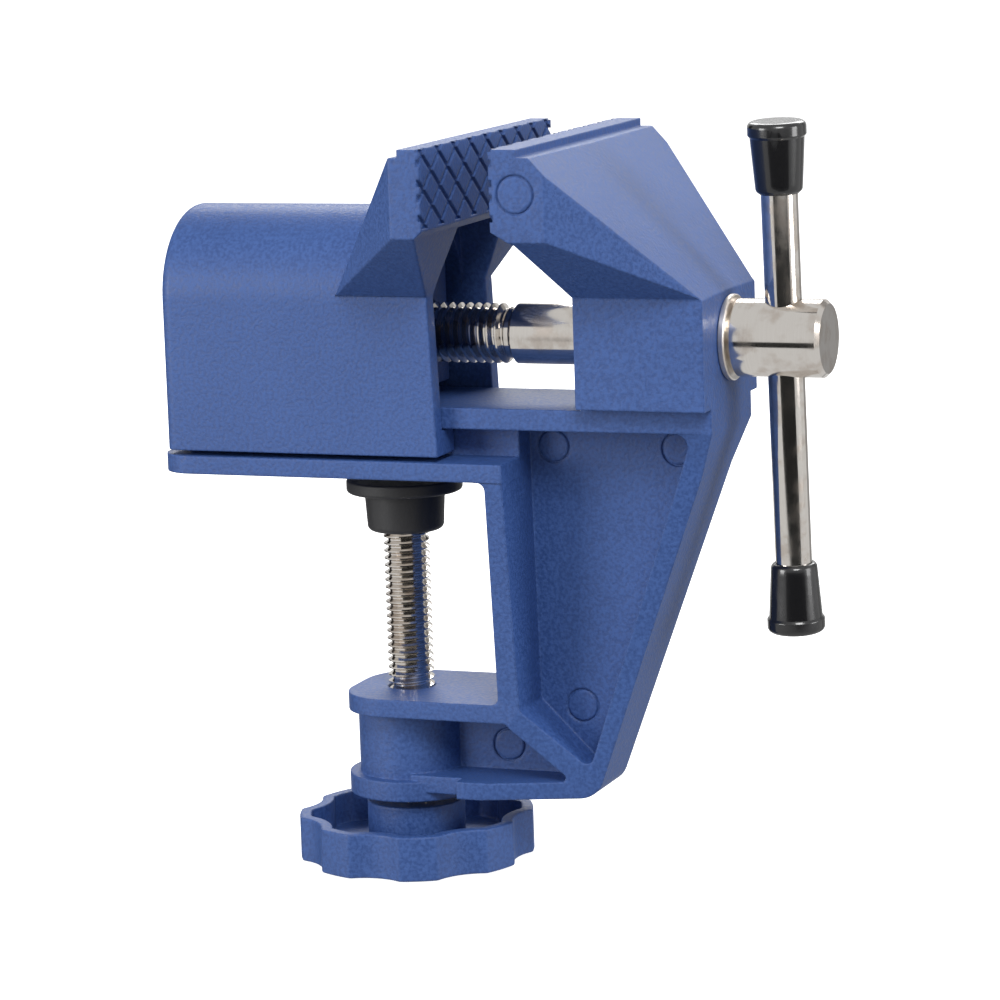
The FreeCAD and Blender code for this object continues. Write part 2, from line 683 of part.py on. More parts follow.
def make_clamp_pad():
    """The moulded pad that bears on the table, turning on the screw's tip."""
    top = dim("pad_top")
    shoulder = top - dim("pad_disc_thick")
    bore = dim("clamp_radius") + 0.08
    tip = dim("screw_tip") + 0.05
    profile = [
        (top, 0.0), (top, dim("pad_disc"), 0.4), (shoulder, dim("pad_disc"), 0.6),
        (shoulder, dim("pad_hub") + 0.4), (dim("pad_low"), dim("pad_hub"), 1.0),
        (dim("pad_low"), bore), (tip, bore), (tip, 0.0)]
    turned("clamp_pad", "clamp_pad", profile, along_x=False)


def scalloped(name, radius, scallop, height, low):
    """A disc with one round scallop between every two lobes."""
    disc = cylinder(name + "_disc", radius, height, V(0, 0, low))
    scallops = []
    for index in range(int(dim("knob_lobes"))):
        angle = 2.0 * math.pi * index / dim("knob_lobes")
        at = V(math.cos(angle), math.sin(angle), 0) * dim("scallop_centre")
        scallops.append(cylinder(name + "_scallop", scallop, "40", at + V(0, 0, low - 15.0)))
    shaped = cut(name, disc, fuse(name + "_scallops", scallops))
    DOC.recompute()
    rounded = DOC.addObject("Part::Fillet", name + "_rounded")
    rounded.Base = shaped
    reach = dim("knob_radius") - 4.0
    edges = [(i + 1, 1.2, 1.2) for i, e in enumerate(shaped.Shape.Edges)
             if e.BoundBox.ZLength > 1.0 and e.BoundBox.XLength < 0.01
             and math.hypot(e.CenterOfMass.x, e.CenterOfMass.y) > reach]
    rounded.Edges = edges
    return rounded


def make_knob():
    """The cup-shaped hand knob, with the hub that the clamp screw ends in."""
    low = dim("knob_low")
    outer = scalloped("knob_outer", "dims.knob_radius", "dims.scallop_radius",
                      "dims.knob_rim - dims.knob_low", low)
    inner = scalloped("knob_inner", "dims.knob_radius - dims.knob_wall",
                      "dims.scallop_radius + dims.knob_wall",
                      "dims.knob_rim - dims.knob_low", low + dim("knob_floor"))
    cup = cut("knob_cup", outer, inner)
    hub = cylinder("knob_hub", "dims.knob_hub", "dims.knob_hub_top - dims.knob_low", V(0, 0, low))
    socket = cylinder("knob_socket", "dims.clamp_radius + 0.02", "20", V(0, 0, dim("clamp_end")))
    recess = cylinder("knob_recess", "6.2", "dims.knob_recess", V(0, 0, low))
    through = cylinder("knob_through", "2.3", "20", V(0, 0, low))
    solid = fuse("knob_solid", [cup, hub])
    finish(cut("knob", solid, fuse("knob_holes", [socket, recess, through])), "clamp_knob")


def make_knob_fixing():
    """The washer and the pan-head screw that hold the knob on from below."""
    washer_top = dim("knob_low") + dim("knob_recess")
    washer_low = washer_top - 0.8
    turned("knob_washer", "knob_washer", [
        (washer_low, 2.2), (washer_low, 4.4), (washer_top, 4.4), (washer_top, 2.2)],
        along_x=False)
    head_low = washer_low - 2.2
    body = turned("knob_screw_blank", None, [
        (head_low, 0.0), (head_low, 3.6, 0.8), (washer_low, 3.6), (washer_low, 2.0),
        (dim("clamp_end") + 7.0, 2.0), (dim("clamp_end") + 7.0, 0.0)], along_x=False)
    slots = []
    for turn in (0.0, 90.0):
        slot = DOC.addObject("Part::Box", "drive_slot")
        slot.Length = 4.0
        slot.Width = 0.8
        slot.Height = 1.4
        turning = FreeCAD.Rotation(V(0, 0, 1), turn)
        corner = turning.multVec(V(-2.0, -0.4, 0)) + V(0, 0, head_low)
        slot.Placement = FreeCAD.Placement(corner, turning)
        slots.append(slot)
    finish(cut("knob_screw", body, fuse("drive_cross", slots)), "knob_screw")


# ---------------------------------------------------------------- build, check, write

def build():
    make_frame()
    make_sliding_jaw()
    make_jaw_nut()
    make_lead_screw()
    washer("thrust_washer", dim("seat_x") + 0.01, "dims.washer_thick - 0.01",
           "dims.washer_radius", "dims.washer_bore")
    washer("back_washer", dim("block_left") - 0.03 - dim("washer_thick"), "dims.washer_thick",
           "dims.washer_radius", "dims.washer_bore")
    make_retaining_ring()
    make_handle()
    make_clamp_screw()
    make_clamp_pad()
    make_knob()
    make_knob_fixing()
    DOC.recompute()


def check():
    """Stop if any object failed or any sub-part is not one valid solid."""
    for obj in DOC.Objects:
        if "Invalid" in obj.State or "Error" in obj.State:
            raise RuntimeError("%s failed: %s" % (obj.Name, obj.State))
    for obj in SUBPARTS:
        shape = obj.Shape
        if shape.isNull() or not shape.isValid():
            raise RuntimeError("%s has no valid shape" % obj.Label)
        if len(shape.Solids) != 1:
            raise RuntimeError("%s has %d solids" % (obj.Label, len(shape.Solids)))
        print("%-16s %9.1f mm3" % (obj.Label, shape.Volume))


def write():
    os.makedirs("parts", exist_ok=True)
    for obj in SUBPARTS:
        obj.Shape.exportStep("parts/%s.step" % obj.Label)


build()
check()
write()
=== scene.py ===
"""Looks of a table-clamp bench vise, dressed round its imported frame.

Lengths are in metres.  +X runs along the lead screw towards its head, +Z is up, and the origin
is where the clamp screw's axis meets the underside of the table plate.
"""
import json
import logging
import math
from dataclasses import dataclass, field
from enum import Enum
from typing import Any, Callable, Iterable, Optional, Union

import bmesh
import bpy
from mathutils import Matrix, Vector

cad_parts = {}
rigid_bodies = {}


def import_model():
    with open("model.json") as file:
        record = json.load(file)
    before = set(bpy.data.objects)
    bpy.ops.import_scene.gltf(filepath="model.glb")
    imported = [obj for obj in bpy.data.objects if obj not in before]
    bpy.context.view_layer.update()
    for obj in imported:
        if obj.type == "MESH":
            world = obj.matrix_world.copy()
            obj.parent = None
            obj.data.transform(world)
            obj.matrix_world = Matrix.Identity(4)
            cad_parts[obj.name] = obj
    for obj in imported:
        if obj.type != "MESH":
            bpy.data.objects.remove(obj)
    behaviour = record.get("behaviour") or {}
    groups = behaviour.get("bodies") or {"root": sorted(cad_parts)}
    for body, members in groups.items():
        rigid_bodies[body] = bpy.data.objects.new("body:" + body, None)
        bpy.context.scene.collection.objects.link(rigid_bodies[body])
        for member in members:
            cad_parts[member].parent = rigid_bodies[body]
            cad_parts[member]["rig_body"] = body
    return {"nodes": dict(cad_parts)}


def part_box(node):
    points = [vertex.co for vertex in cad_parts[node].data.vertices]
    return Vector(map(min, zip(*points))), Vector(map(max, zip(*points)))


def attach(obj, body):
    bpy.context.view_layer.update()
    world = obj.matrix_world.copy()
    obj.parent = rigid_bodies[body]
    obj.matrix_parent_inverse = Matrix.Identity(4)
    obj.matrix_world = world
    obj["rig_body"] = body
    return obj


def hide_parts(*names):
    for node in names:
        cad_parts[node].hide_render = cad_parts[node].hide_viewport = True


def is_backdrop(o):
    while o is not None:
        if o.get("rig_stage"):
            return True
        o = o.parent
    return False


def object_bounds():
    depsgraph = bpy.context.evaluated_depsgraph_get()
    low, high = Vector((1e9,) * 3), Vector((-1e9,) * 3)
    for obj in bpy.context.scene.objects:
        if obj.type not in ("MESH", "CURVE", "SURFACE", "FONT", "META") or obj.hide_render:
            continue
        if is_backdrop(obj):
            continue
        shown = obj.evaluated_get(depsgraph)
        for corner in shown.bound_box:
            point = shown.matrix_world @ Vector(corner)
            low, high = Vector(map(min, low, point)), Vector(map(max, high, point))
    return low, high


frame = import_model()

LOG = logging.getLogger("bench_vise")
MM = 0.001
WELD = 1e-6
Colour = tuple[float, float, float]


# ------------------------------------------------------------------ shader maths

class Wire:
    """A shader socket that takes part in Python expressions."""

    def __init__(self, graph: "Graph", socket: bpy.types.NodeSocket) -> None:
        """Keep the socket and the graph that new nodes go into."""
        self.graph = graph
        self.socket = socket

    def _math(self, operation: str, first: "Value", second: "Value") -> "Wire":
        """Add one Math node."""
        return self.graph.node("ShaderNodeMath", {"operation": operation},
                               {0: first, 1: second})

    def __add__(self, other: "Value") -> "Wire":
        """Sum."""
        return self._math("ADD", self, other)

    __radd__ = __add__

    def __mul__(self, other: "Value") -> "Wire":
        """Product."""
        return self._math("MULTIPLY", self, other)

    __rmul__ = __mul__

    def __sub__(self, other: "Value") -> "Wire":
        """Difference."""
        return self._math("SUBTRACT", self, other)

    def __rsub__(self, other: "Value") -> "Wire":
        """Difference, with the plain number first."""
        return self._math("SUBTRACT", other, self)

    def power(self, exponent: float) -> "Wire":
        """Raise to a power."""
        return self._math("POWER", self, exponent)

    def between(self, low: float, high: float) -> "Wire":
        """Rise smoothly from 0 at low to 1 at high.

        Args:
            low: value at which the result leaves 0.
            high: value at which the result reaches 1.

        Returns:
            The smooth step.
        """
        return self.graph.node("ShaderNodeMapRange", {"interpolation_type": "SMOOTHSTEP"},
                               {"Value": self, "From Min": low, "From Max": high})


Value = Union[Wire, float, Colour]


class Graph:
    """The node tree of one material."""

    def __init__(self, name: str) -> None:
        """Start an empty material."""
        self.material = bpy.data.materials.new(name)
        self.material.use_nodes = True
        self.tree = self.material.node_tree
        self.tree.nodes.clear()

    def node(self, kind: str, settings: Optional[dict[str, Any]] = None,
             sockets: Optional[dict[Union[str, int], Value]] = None,
             output: Union[str, int] = 0) -> Wire:
        """Add a node.

        Args:
            kind: the node's type.
            settings: its own settings, set before its sockets; "stops" fills a colour ramp.
            sockets: a value or a wire for each input that isn't left alone.
            output: which output the result reads.

        Returns:
            The chosen output.
        """
        made = self.tree.nodes.new(kind)
        for key, setting in (settings or {}).items():
            if key == "stops":
                ramp = made.color_ramp
                while len(ramp.elements) < len(setting):
                    ramp.elements.new(0.5)
                for element, (position, colour) in zip(ramp.elements, setting):
                    element.position = position
                    element.color = (*colour, 1.0)
            else:
                setattr(made, key, setting)
        for key, value in (sockets or {}).items():
            socket = made.inputs[key]
            if isinstance(value, Wire):
                self.tree.links.new(value.socket, socket)
            elif socket.type == "RGBA":
                socket.default_value = (*value, 1.0)
            else:
                socket.default_value = value
        return Wire(self, made.outputs[output])

    def place(self, scale: Colour = (1.0, 1.0, 1.0), turn: Colour = (0.0, 0.0, 0.0)) -> Wire:
        """Object coordinates, turned and stretched.

        Args:
            scale: stretch of the pattern along each axis.
            turn: turn of the pattern in degrees about each axis.

        Returns:
            The coordinates.
        """
        where = self.node("ShaderNodeTexCoord", output="Object")
        return self.node("ShaderNodeMapping", {}, {
            "Vector": where, "Scale": scale,
            "Rotation": tuple(math.radians(angle) for angle in turn)})

    def noise(self, where: Wire, size_mm: float, detail: float = 2.0) -> Wire:
        """Noise whose lumps are about size_mm wide."""
        return self.node("ShaderNodeTexNoise", {}, {
            "Vector": where, "Scale": 1000.0 / size_mm, "Detail": detail}, "Fac")

    def mix(self, factor: Value, first: Value, second: Value) -> Wire:
        """Mix two colours."""
        return self.node("ShaderNodeMix", {"data_type": "RGBA"},
                         {0: factor, 6: first, 7: second}, 2)

    def bump(self, height: Wire, depth_mm: float, corner_mm: float = 0.0) -> Wire:
        """Normal of a surface with that height pattern.

        Args:
            height: the pattern.
            depth_mm: how deep it is.
            corner_mm: radius to which the finish softens every corner.

        Returns:
            The normal.
        """
        sockets = {"Height": height, "Distance": depth_mm * MM}
        if corner_mm > 0:
            sockets["Normal"] = self.node("ShaderNodeBevel", {"samples": 6},
                                          {"Radius": corner_mm * MM})
        return self.node("ShaderNodeBump", {}, sockets)

    def surface(self, sockets: dict[Union[str, int], Value]) -> bpy.types.Material:
        """Finish with a Principled surface and return the material."""
        shader = self.node("ShaderNodeBsdfPrincipled", {}, sockets)
        self.node_output(shader)
        return self.material

    def node_output(self, shader: Wire) -> None:
        """Join a shader to the material's output."""
        end = self.tree.nodes.new("ShaderNodeOutputMaterial")
        self.tree.links.new(shader.socket, end.inputs["Surface"])


# ------------------------------------------------------------------ finishes

@dataclass(frozen=True)
class BluePaint:
    """Baked enamel over a cast surface: sandy grain and a soft sheen."""

    name: str = "blue_enamel"
    deep: Colour = (0.022, 0.062, 0.215)
    light: Colour = (0.044, 0.106, 0.325)
    grain_mm: float = 0.55
    wave_mm: float = 1.5
    depth_mm: float = 0.11
    corner_mm: float = 0.5
    roughness: float = 0.46

    def make(self) -> bpy.types.Material:
        """Build the material."""
        graph = Graph(self.name)
        where = graph.place()
        grain = graph.noise(where, self.grain_mm)
        wave = graph.noise(where, self.wave_mm)
        cloud = graph.noise(where, 22.0)
        height = grain * 0.65 + wave * 0.35
        tone = grain.between(0.3, 0.7) * 0.8 + cloud.between(0.3, 0.7) * 0.2
        return graph.surface({
            "Base Color": graph.mix(tone, self.deep, self.light),
            "Roughness": self.roughness + grain.between(0.3, 0.75) * 0.2,
            "Normal": graph.bump(height, self.depth_mm, self.corner_mm),
            "Specular IOR Level": 0.5, "Coat Weight": 0.06, "Coat Roughness": 0.25})


class Lay(Enum):
    """Which way the marks of machining run, as the stretch of their pattern."""

    ALONG_X = (0.03, 1.0, 1.0)
    ROUND_X = (1.0, 0.03, 0.03)
    ALONG_Z = (1.0, 1.0, 0.03)
    ROUND_Z = (0.03, 0.03, 1.0)


@dataclass(frozen=True)
class Steel:
    """Plated steel with fine marks of turning or drawing."""

    name: str
    lay: Lay
    bright: Colour = (0.80, 0.77, 0.73)
    dull: Colour = (0.55, 0.48, 0.42)
    mark_mm: float = 0.16
    roughness: float = 0.07
    uneven: float = 0.08
    depth_mm: float = 0.002

    def make(self) -> bpy.types.Material:
        """Build the material."""
        graph = Graph(self.name)
        marks = graph.noise(graph.place(self.lay.value), self.mark_mm, 3.0)
        stain = graph.noise(graph.place(), 3.5, 3.0)
        speck = graph.noise(graph.place(), 0.45, 2.0)
        worn = stain.between(0.42, 0.68)
        return graph.surface({
            "Base Color": graph.mix(worn * 0.6 + marks * 0.3, self.bright, self.dull),
            "Metallic": 1.0,
            "Roughness": self.roughness + worn * self.uneven + marks * 0.06,
            "Normal": graph.bump(marks * 0.7 + speck * 0.3, self.depth_mm)})


@dataclass(frozen=True)
class Moulding:
    """Black plastic straight from the mould."""

    name: str
    colour: Colour
    roughness: float
    grain_mm: float
    depth_mm: float
    coat: float = 0.0

    def make(self) -> bpy.types.Material:
        """Build the material."""
        graph = Graph(self.name)
        grain = graph.noise(graph.place(), self.grain_mm, 3.0)
        scuff = graph.noise(graph.place((1.0, 1.0, 0.25)), 2.4, 4.0).between(0.52, 0.75)
        paler = tuple(min(1.0, c * 1.9 + 0.006) for c in self.colour)
        return graph.surface({
            "Base Color": graph.mix(scuff * 0.5, self.colour, paler),
            "Roughness": self.roughness + scuff * 0.16 + grain * 0.05,
            "Normal": graph.bump(grain, self.depth_mm),
            "Coat Weight": self.coat, "Coat Roughness": 0.08})


# ------------------------------------------------------------------ making pieces

def welded(node: str) -> bmesh.types.BMesh:
    """Copy a CAD node's mesh with its loose triangles joined.

    Args:
        node: the CAD node.

    Returns:
        The copy, with flat areas made single faces.
    """
    mesh = bmesh.new()
    mesh.from_mesh(frame["nodes"][node].data)
    bmesh.ops.remove_doubles(mesh, verts=mesh.verts, dist=WELD)
    bmesh.ops.dissolve_limit(mesh, angle_limit=math.radians(0.4), verts=mesh.verts,
                             edges=mesh.edges, use_dissolve_boundaries=False)
    return mesh


def fold_edges(mesh: bmesh.types.BMesh, fold: float,
               keep: Callable[[Vector], bool]) -> list[bmesh.types.BMEdge]:
    """The edges that turn by more than fold degrees and whose middle passes keep."""
    limit = math.radians(fold)
    return [edge for edge in mesh.edges
            if len(edge.link_faces) == 2 and edge.calc_face_angle() > limit
            and keep((edge.verts[0].co + edge.verts[1].co) / 2)]


def ease(mesh: bmesh.types.BMesh, width: float, fold: float = 32.0, measure: str = "OFFSET",
         keep: Callable[[Vector], bool] = lambda middle: True) -> None:
    """Round the sharp edges of a mesh.

    Args:
        mesh: the mesh.
        width: width of the rounding in metres.
        fold: an edge is sharp if it turns by more than this many degrees.
        measure: how the width is measured.
        keep: test of an edge's middle, for edges that stay sharp.
    """
    bmesh.ops.bevel(mesh, geom=fold_edges(mesh, fold, keep), offset=width,
                    offset_type=measure, affect="EDGES", segments=2, profile=0.5,
                    material=-1, clamp_overlap=False, loop_slide=True)
    bmesh.ops.triangulate(mesh, faces=[face for face in mesh.faces if len(face.verts) > 4])


def piece(mesh: bmesh.types.BMesh, name: str, finish: bpy.types.Material, body: str,
          stands_for: Iterable[str], fold: float = 35.0,
          flat: bool = True,
          is_round: Callable[[Vector], bool] = lambda middle: True) -> bpy.types.Object:
    """Turn a mesh into a piece of the object.

    Args:
        mesh: the mesh; it is freed.
        name: the piece's name.
        finish: its material.
        body: the body that it rides on.
        stands_for: the CAD nodes that it replaces.
        fold: edges that turn by more degrees than this are drawn sharp.
        flat: whether wide faces are shaded flat beside their rounded edges.
        is_round: test of a face's middle, for faces that are shaded smooth.

    Returns:
        The piece.
    """
    data = bpy.data.meshes.new(name)
    for face in mesh.faces:
        face.smooth = is_round(face.calc_center_median())
    limit = math.radians(fold)
    for edge in mesh.edges:
        edge.smooth = (len(edge.link_faces) == 2 and edge.calc_face_angle() < limit
                       and all(face.smooth for face in edge.link_faces))
    mesh.to_mesh(data)
    mesh.free()
    data.materials.append(finish)
    made = bpy.data.objects.new(name, data)
    bpy.context.scene.collection.objects.link(made)
    if flat:
        made.modifiers.new("flat_faces", "WEIGHTED_NORMAL").keep_sharp = True
    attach(made, body)
    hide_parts(*stands_for)
    data.calc_loop_triangles()
    LOG.info("%s: %d triangles on %s", name, len(data.loop_triangles), body)
    return made


def bar_place() -> Matrix:
    """Where the handle bar's axis crosses the lead screw's, with local Z up the bar."""
    return Matrix.Translation((67.3 * MM, 0, 22.6 * MM)) @ Matrix.Rotation(
        math.radians(3.6), 4, "X")


def body_of(node: str) -> str:
    """The body that a CAD node rides on."""
    return frame["nodes"][node]["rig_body"]


@dataclass
class Thread:
    """A helical thread along local +Z, from start to end."""

    radius: float
    pitch: float
    start: float
    end: float
    depth: float = 0.60
    crest: float = 0.16
    steps: int = 40
    lead_in: float = 0.7 * MM

    def build(self, place: Matrix) -> bmesh.types.BMesh:
        """Spin one tooth along the helix, square both ends and close them.

        Args:
            place: where the thread's local frame goes.

        Returns:
            The closed thread.
        """
        root = self.radius - self.depth * self.pitch
        ridge = self.crest * self.pitch
        flank = (self.pitch - 2 * ridge) / 2
        stations = [(0.0, root), (ridge / 2, root), (ridge / 2 + flank, self.radius),
                    (ridge * 1.5 + flank, self.radius), (ridge * 1.5 + 2 * flank, root),
                    (self.pitch, root)]
        mesh = bmesh.new()
        below = self.start - 1.5 * self.pitch
        points = [mesh.verts.new((radius, 0.0, below + station))
                  for station, radius in stations]
        tooth = [mesh.edges.new(pair) for pair in zip(points, points[1:])]
        bmesh.ops.spin(mesh, geom=points + tooth, cent=(0, 0, 0), axis=(0, 0, 1),
                       dvec=(0, 0, self.pitch / self.steps), angle=math.tau,
                       steps=self.steps, use_merge=False)
        turns = 1
        while turns * self.pitch < self.end - self.start + 3 * self.pitch:
            whole = mesh.verts[:] + mesh.edges[:] + mesh.faces[:]
            copied = bmesh.ops.duplicate(mesh, geom=whole)["geom"]
            bmesh.ops.translate(mesh, vec=(0, 0, self.pitch * turns),
                                verts=[e for e in copied if isinstance(e, bmesh.types.BMVert)])
            turns *= 2
        bmesh.ops.remove_doubles(mesh, verts=mesh.verts, dist=WELD)
        for height, outward in ((self.start, -1), (self.end, 1)):
            everything = mesh.verts[:] + mesh.edges[:] + mesh.faces[:]
            bmesh.ops.bisect_plane(mesh, geom=everything, plane_co=(0, 0, height),
                                   plane_no=(0, 0, outward), clear_outer=True, dist=1e-8)
            rim = [edge for edge in mesh.edges if edge.is_boundary
                   and all(abs(vert.co.z - height) < WELD for vert in edge.verts)]
            bmesh.ops.contextual_create(mesh, geom=rim)
        self._lead_in(mesh)
        bmesh.ops.triangulate(mesh, faces=[face for face in mesh.faces if len(face.verts) > 4])
        bmesh.ops.recalc_face_normals(mesh, faces=mesh.faces)
        bmesh.ops.transform(mesh, matrix=place, verts=mesh.verts)
        return mesh

    def _lead_in(self, mesh: bmesh.types.BMesh) -> None:
        """Draw the thread's crests in towards both ends."""
        for vert in mesh.verts:
            spare = min(vert.co.z - self.start, self.end - vert.co.z)
            limit = self.radius - max(0.0, self.lead_in - spare)
            out = math.hypot(vert.co.x, vert.co.y)
            if out > limit:
                vert.co.x *= limit / out
                vert.co.y *= limit / out


def lathe(profile: list[tuple[float, float]], place: Matrix,
          steps: int = 96) -> bmesh.types.BMesh:
    """Spin a profile round local Z.

    Args:
        profile: (height, radius) stations in metres, going up; a closed loop for a ring, or
            a line from the axis to the axis.
        place: where the piece's local frame goes.
        steps: faces round the piece.

    Returns:
        The closed mesh.
    """
    mesh = bmesh.new()
    points = [mesh.verts.new((radius, 0.0, height)) for height, radius in profile]
    line = [mesh.edges.new(pair) for pair in zip(points, points[1:])]
    if all(radius > WELD for _, radius in profile):
        line.append(mesh.edges.new((points[-1], points[0])))
    bmesh.ops.spin(mesh, geom=points + line, cent=(0, 0, 0), axis=(0, 0, 1),
                   angle=math.tau, steps=steps, use_merge=True)
    bmesh.ops.remove_doubles(mesh, verts=mesh.verts, dist=WELD)
    bmesh.ops.recalc_face_normals(mesh, faces=mesh.faces)
    bmesh.ops.transform(mesh, matrix=place, verts=mesh.verts)
    return mesh


def eased(profile: list[tuple[float, float]], width: float,
          corners: Iterable[int]) -> list[tuple[float, float]]:
    """Cut the named corners of a profile with a small chamfer.

    Args:
        profile: (height, radius) stations.
        width: length cut from each side of a corner.
        corners: the stations to cut.

    Returns:
        The profile with two stations for each corner that was cut.
    """
    chosen, made = set(corners), []
    for index, station in enumerate(profile):
        if index not in chosen:
            made.append(station)
            continue
        here = Vector(station)
        for other in (profile[index - 1], profile[(index + 1) % len(profile)]):
            towards = Vector(other) - here
            made.append(tuple(here + towards.normalized() * min(width, towards.length / 2)))
    return made


def drilled(mesh: bmesh.types.BMesh, drill: bmesh.types.BMesh) -> bmesh.types.BMesh:
    """Cut one closed mesh with another and return the result."""
    pair = []
    for label, part in (("blank", mesh), ("drill", drill)):
        data = bpy.data.meshes.new(label)
        part.to_mesh(data)
        part.free()
        pair.append(bpy.data.objects.new(label, data))
        bpy.context.scene.collection.objects.link(pair[-1])
    blank, cutter = pair
    cut = blank.modifiers.new("cut", "BOOLEAN")
    cut.operation, cut.solver, cut.object = "DIFFERENCE", "EXACT", cutter
    seen = blank.evaluated_get(bpy.context.evaluated_depsgraph_get())
    result = bmesh.new()
    result.from_mesh(seen.to_mesh())
    seen.to_mesh_clear()
    for spent in pair:
        data = spent.data
        bpy.data.objects.remove(spent)
        bpy.data.meshes.remove(data)
    return result


def join(first: bmesh.types.BMesh, second: bmesh.types.BMesh) -> bmesh.types.BMesh:
    """Put the second mesh's shells into the first and return it."""
    spare = bpy.data.meshes.new("spare")
    second.to_mesh(spare)
    second.free()
    first.from_mesh(spare)
    bpy.data.meshes.remove(spare)
    return first


# ------------------------------------------------------------------ sub-assemblies

@dataclass
class Castings:
    """The two painted castings: the frame with the fixed jaw, and the sliding jaw."""

    paint: bpy.types.Material
    knurl_depth: float = 1.0 * MM
    strip_low: float = 42.0 * MM

    sliding_face: float = 17.0 * MM
    fixed_face: float = 28.67 * MM

    def is_plain(self, middle: Vector) -> bool:
        """Whether an edge lies clear of the knurled jaw faces."""
        from_face = min(abs(middle.x - self.sliding_face), abs(middle.x - self.fixed_face))
        return from_face > self.knurl_depth or middle.z < self.strip_low

    def build(self) -> None:
        """Build both castings."""
        for node, name, width, measure in (
                ("frame", "frame_casting", 0.18 * MM, "WIDTH"),
                ("sliding_jaw", "sliding_jaw_casting", 0.15 * MM, "OFFSET")):
            mesh = welded(node)
            ease(mesh, width, measure=measure, keep=self.is_plain)
            piece(mesh, name, self.paint, body_of(node), [node],
                  is_round=self.is_plain)


@dataclass
class Drive:
    """The lead screw with its nut, washers and retaining ring."""

    nickel: bpy.types.Material
    zinc: bpy.types.Material
    pitch: float = 1.5 * MM
    radius: float = 5.0 * MM
    rear: float = -22.5 * MM
    thread_end: float = 20.2 * MM
    axis_height: float = 22.6 * MM
    relief: float = 4.15 * MM
    shoulder: float = 59.12 * MM
    head: float = 6.35 * MM
    head_end: float = 74.7 * MM
    head_round: float = 0.7 * MM
    hole: float = 3.06 * MM
    washer_bore: float = 5.1 * MM

    def build(self) -> None:
        """Build the drive's pieces."""
        along_x = Matrix.Translation((0, 0, self.axis_height)) @ Matrix.Rotation(
            math.radians(90), 4, "Y")
        shank = lathe(eased([
            (self.thread_end + 0.05 * MM, 0.0), (self.thread_end + 0.05 * MM, self.relief),
            (self.thread_end + 0.8 * MM, self.relief), (self.thread_end + 1.5 * MM, self.radius),
            (self.shoulder, self.radius), (self.shoulder, self.head),
            (self.head_end, self.head), (self.head_end, 0.0)], self.head_round, (5, 6)), along_x)
        shank = drilled(shank, lathe([(-0.02, 0.0), (-0.02, self.hole), (0.02, self.hole),
                                      (0.02, 0.0)], bar_place()))
        thread = Thread(self.radius, self.pitch, self.rear, self.thread_end).build(along_x)
        piece(join(shank, thread), "lead_screw_threaded", self.nickel, body_of("lead_screw"),
              ["lead_screw"], fold=28.0, flat=False)
        for node in ("thrust_washer", "back_washer"):
            low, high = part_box(node)
            rim = (high.z - low.z) / 2
            ring = lathe(eased([(low.x, self.washer_bore), (low.x, rim), (high.x, rim),
                                (high.x, self.washer_bore)], 0.2 * MM, (1, 2)), along_x)
            piece(ring, node + "_plated", self.zinc, body_of(node), [node],
                  flat=False)
        for node in ("jaw_nut", "retaining_ring"):
            piece(welded(node), node + "_plated", self.zinc, body_of(node),
                  [node])


@dataclass
class Handle:
    """The sliding bar and its two end caps."""

    nickel: bpy.types.Material
    cap: bpy.types.Material
    radius: float = 3.0 * MM
    low: float = -47.0 * MM
    high: float = 33.4 * MM

    def build(self) -> None:
        """Build the handle's pieces."""
        bar = lathe(eased([(self.low, 0.0), (self.low, self.radius), (self.high, self.radius),
                           (self.high, 0.0)], 0.3 * MM, (1, 2)), bar_place(), 64)
        piece(bar, "handle_bar_plated", self.nickel, body_of("handle_bar"),
              ["handle_bar"], flat=False)
        for node in ("upper_cap", "lower_cap"):
            mesh = welded(node)
            ease(mesh, 0.25 * MM, fold=40.0)
            piece(mesh, node + "_moulded", self.cap, body_of(node), [node])


@dataclass
class TableClamp:
    """The clamp screw with its pad, its knob and the knob's fixing."""

    nickel: bpy.types.Material
    zinc: bpy.types.Material
    pad: bpy.types.Material
    paint: bpy.types.Material
    pitch: float = 1.25 * MM
    radius: float = 3.9 * MM
    edge_round: float = 0.35 * MM

    def build(self) -> None:
        """Build the clamp's pieces."""
        low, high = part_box("clamp_screw")
        thread = Thread(self.radius, self.pitch, low.z, high.z, steps=36)
        piece(thread.build(Matrix.Identity(4)), "clamp_screw_threaded", self.nickel,
              body_of("clamp_screw"), ["clamp_screw"], fold=28.0)
        pad = welded("clamp_pad")
        piece(pad, "clamp_pad_moulded", self.pad, body_of("clamp_pad"),
              ["clamp_pad"])
        knob = welded("clamp_knob")
        ease(knob, self.edge_round)
        piece(knob, "clamp_knob_casting", self.paint, body_of("clamp_knob"),
              ["clamp_knob"])
        for node in ("knob_washer", "knob_screw"):
            piece(welded(node), node + "_plated", self.zinc, body_of(node),
                  [node])


# ------------------------------------------------------------------ studio

@dataclass(frozen=True)
class SoftBox:
    """A rectangular soft light."""

    name: str
    where: Colour
    size: tuple[float, float]
    power: float
    colour: Colour = (1.0, 1.0, 1.0)

    def place(self, target: Vector) -> None:
        """Hang the light so that it points at the target."""
        data = bpy.data.lights.new(self.name, "AREA")
        data.shape = "RECTANGLE"
        data.size, data.size_y = self.size
        data.energy = self.power
        data.color = self.colour
        light = bpy.data.objects.new(self.name, data)
        bpy.context.scene.collection.objects.link(light)
        light.location = self.where
        towards = target - Vector(self.where)
        light.rotation_euler = towards.to_track_quat("-Z", "Y").to_euler()


